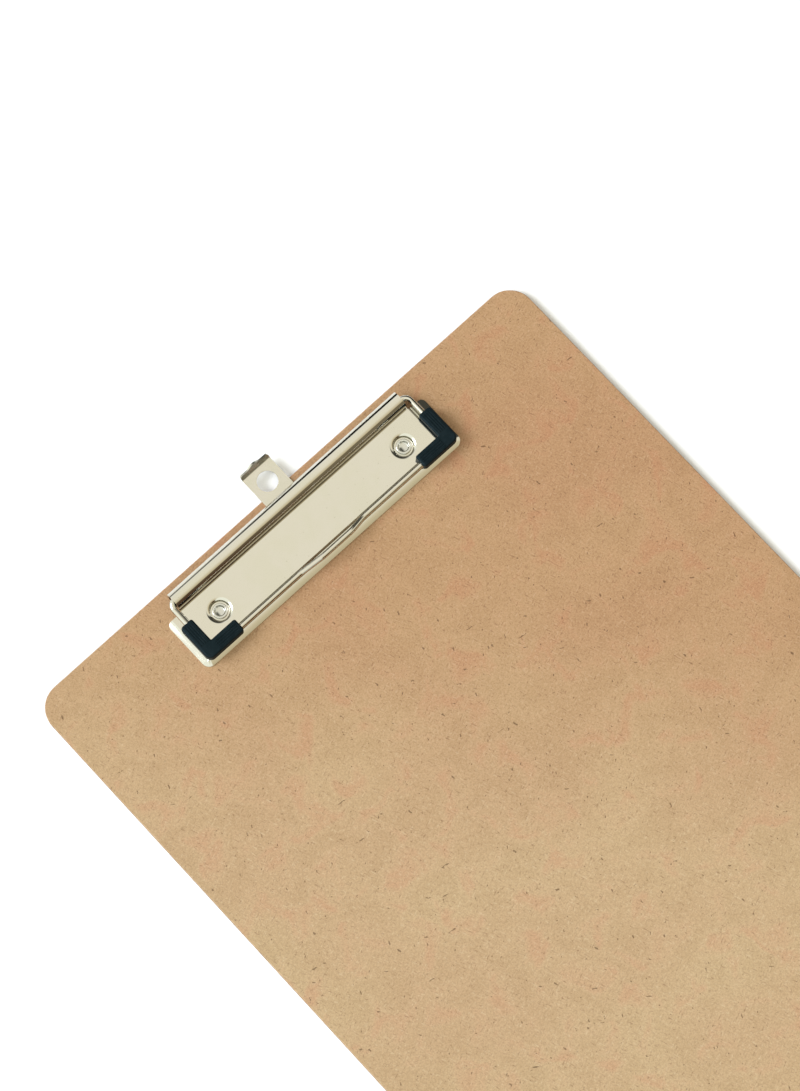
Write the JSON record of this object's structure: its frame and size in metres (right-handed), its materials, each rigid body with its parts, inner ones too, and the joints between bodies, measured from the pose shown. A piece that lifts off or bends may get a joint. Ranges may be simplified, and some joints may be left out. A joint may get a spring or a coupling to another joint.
{
  "type": "clipboard",
  "caption": "A4 hardboard clipboard with a riveted metal clip: sprung wire bail with rubber corner grips, and a slide-out hanging tab.",
  "frame": {"origin": "middle of the board's flat back face", "axes": "+Y along the board towards the clip end, +X to the right seen from the front with the clip at the top, +Z out of the board's front face"},
  "size_m": [0.225, 0.3271, 0.0106],
  "materials": {
    "board": "matt tempered hardboard",
    "plate": "bright nickel plate",
    "wire": "bright nickel plate",
    "rubber": "satin moulded rubber",
    "tab": "bright nickel plate",
    "rivets": "bright nickel plate"
  },
  "bodies": {
    "board_assembly": {"board": "board", "clip_plate": "plate", "left_rivet": "rivets", "right_rivet": "rivets"},
    "bail": {"wire_bail": "wire", "left_grip": "rubber", "right_grip": "rubber"},
    "tab": {"hanging_tab": "tab"}
  },
  "joints": [
    {"name": "bail_hinge", "type": "hinge", "parent": "board_assembly", "child": "bail", "pos_m": [0, 0.151, 0.0073], "axis": [-1, 0, 0], "range_deg": [0, 90], "stiffness_Nm_per_rad": 0.12, "springref_deg": -57.3},
    {"name": "tab_slide", "type": "slide", "parent": "board_assembly", "child": "tab", "axis": [0, -1, 0], "range_m": [0, 0.012]}
  ]
}
